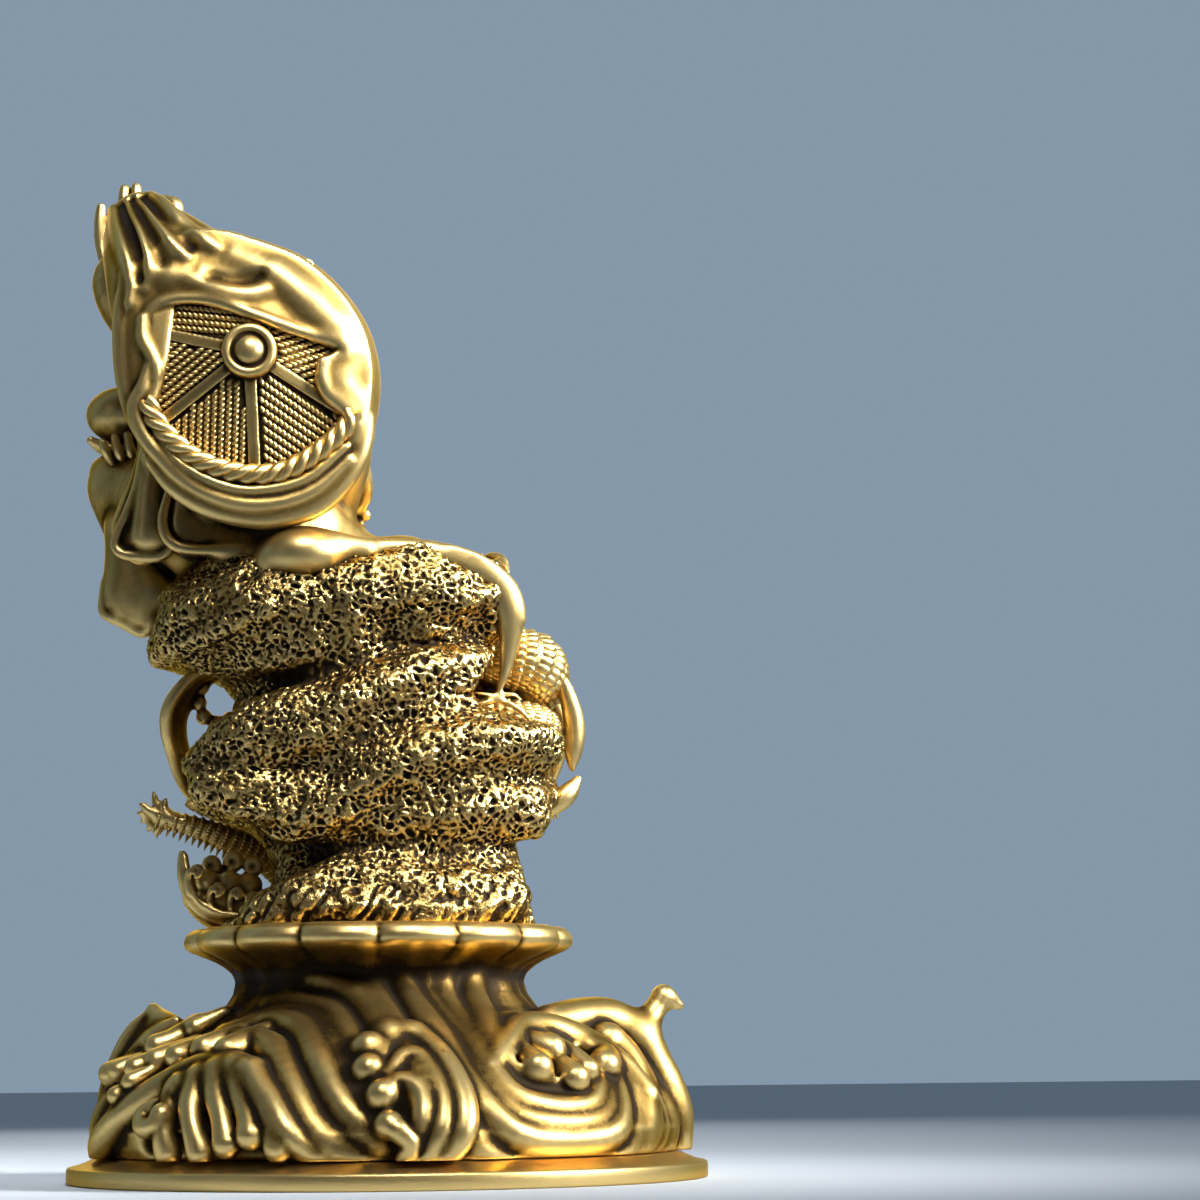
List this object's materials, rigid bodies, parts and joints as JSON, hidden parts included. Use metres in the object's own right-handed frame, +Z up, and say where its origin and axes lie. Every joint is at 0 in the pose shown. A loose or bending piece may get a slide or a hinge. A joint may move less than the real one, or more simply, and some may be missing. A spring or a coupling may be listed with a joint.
{
  "type": "bodhidharma statue",
  "caption": "Cast brass statuette of a seated sage with a straw hat on the back, on a rock with waves and a dragon, standing on a round plinth of waves.",
  "frame": {"origin": "middle of the foot plate's underside", "axes": "+Z up; the sage's chest faces -Y; +X is the sage's left, the side of the raised hand"},
  "size_m": [0.2502, 0.25, 0.4074],
  "materials": {
    "antique_brass": "satin cast brass with a dark brown patina in the hollows and bright worn edges"
  },
  "bodies": {
    "root": {"foot_plate": "antique_brass", "wave_plinth": "antique_brass", "statue": "antique_brass"}
  },
  "joints": []
}
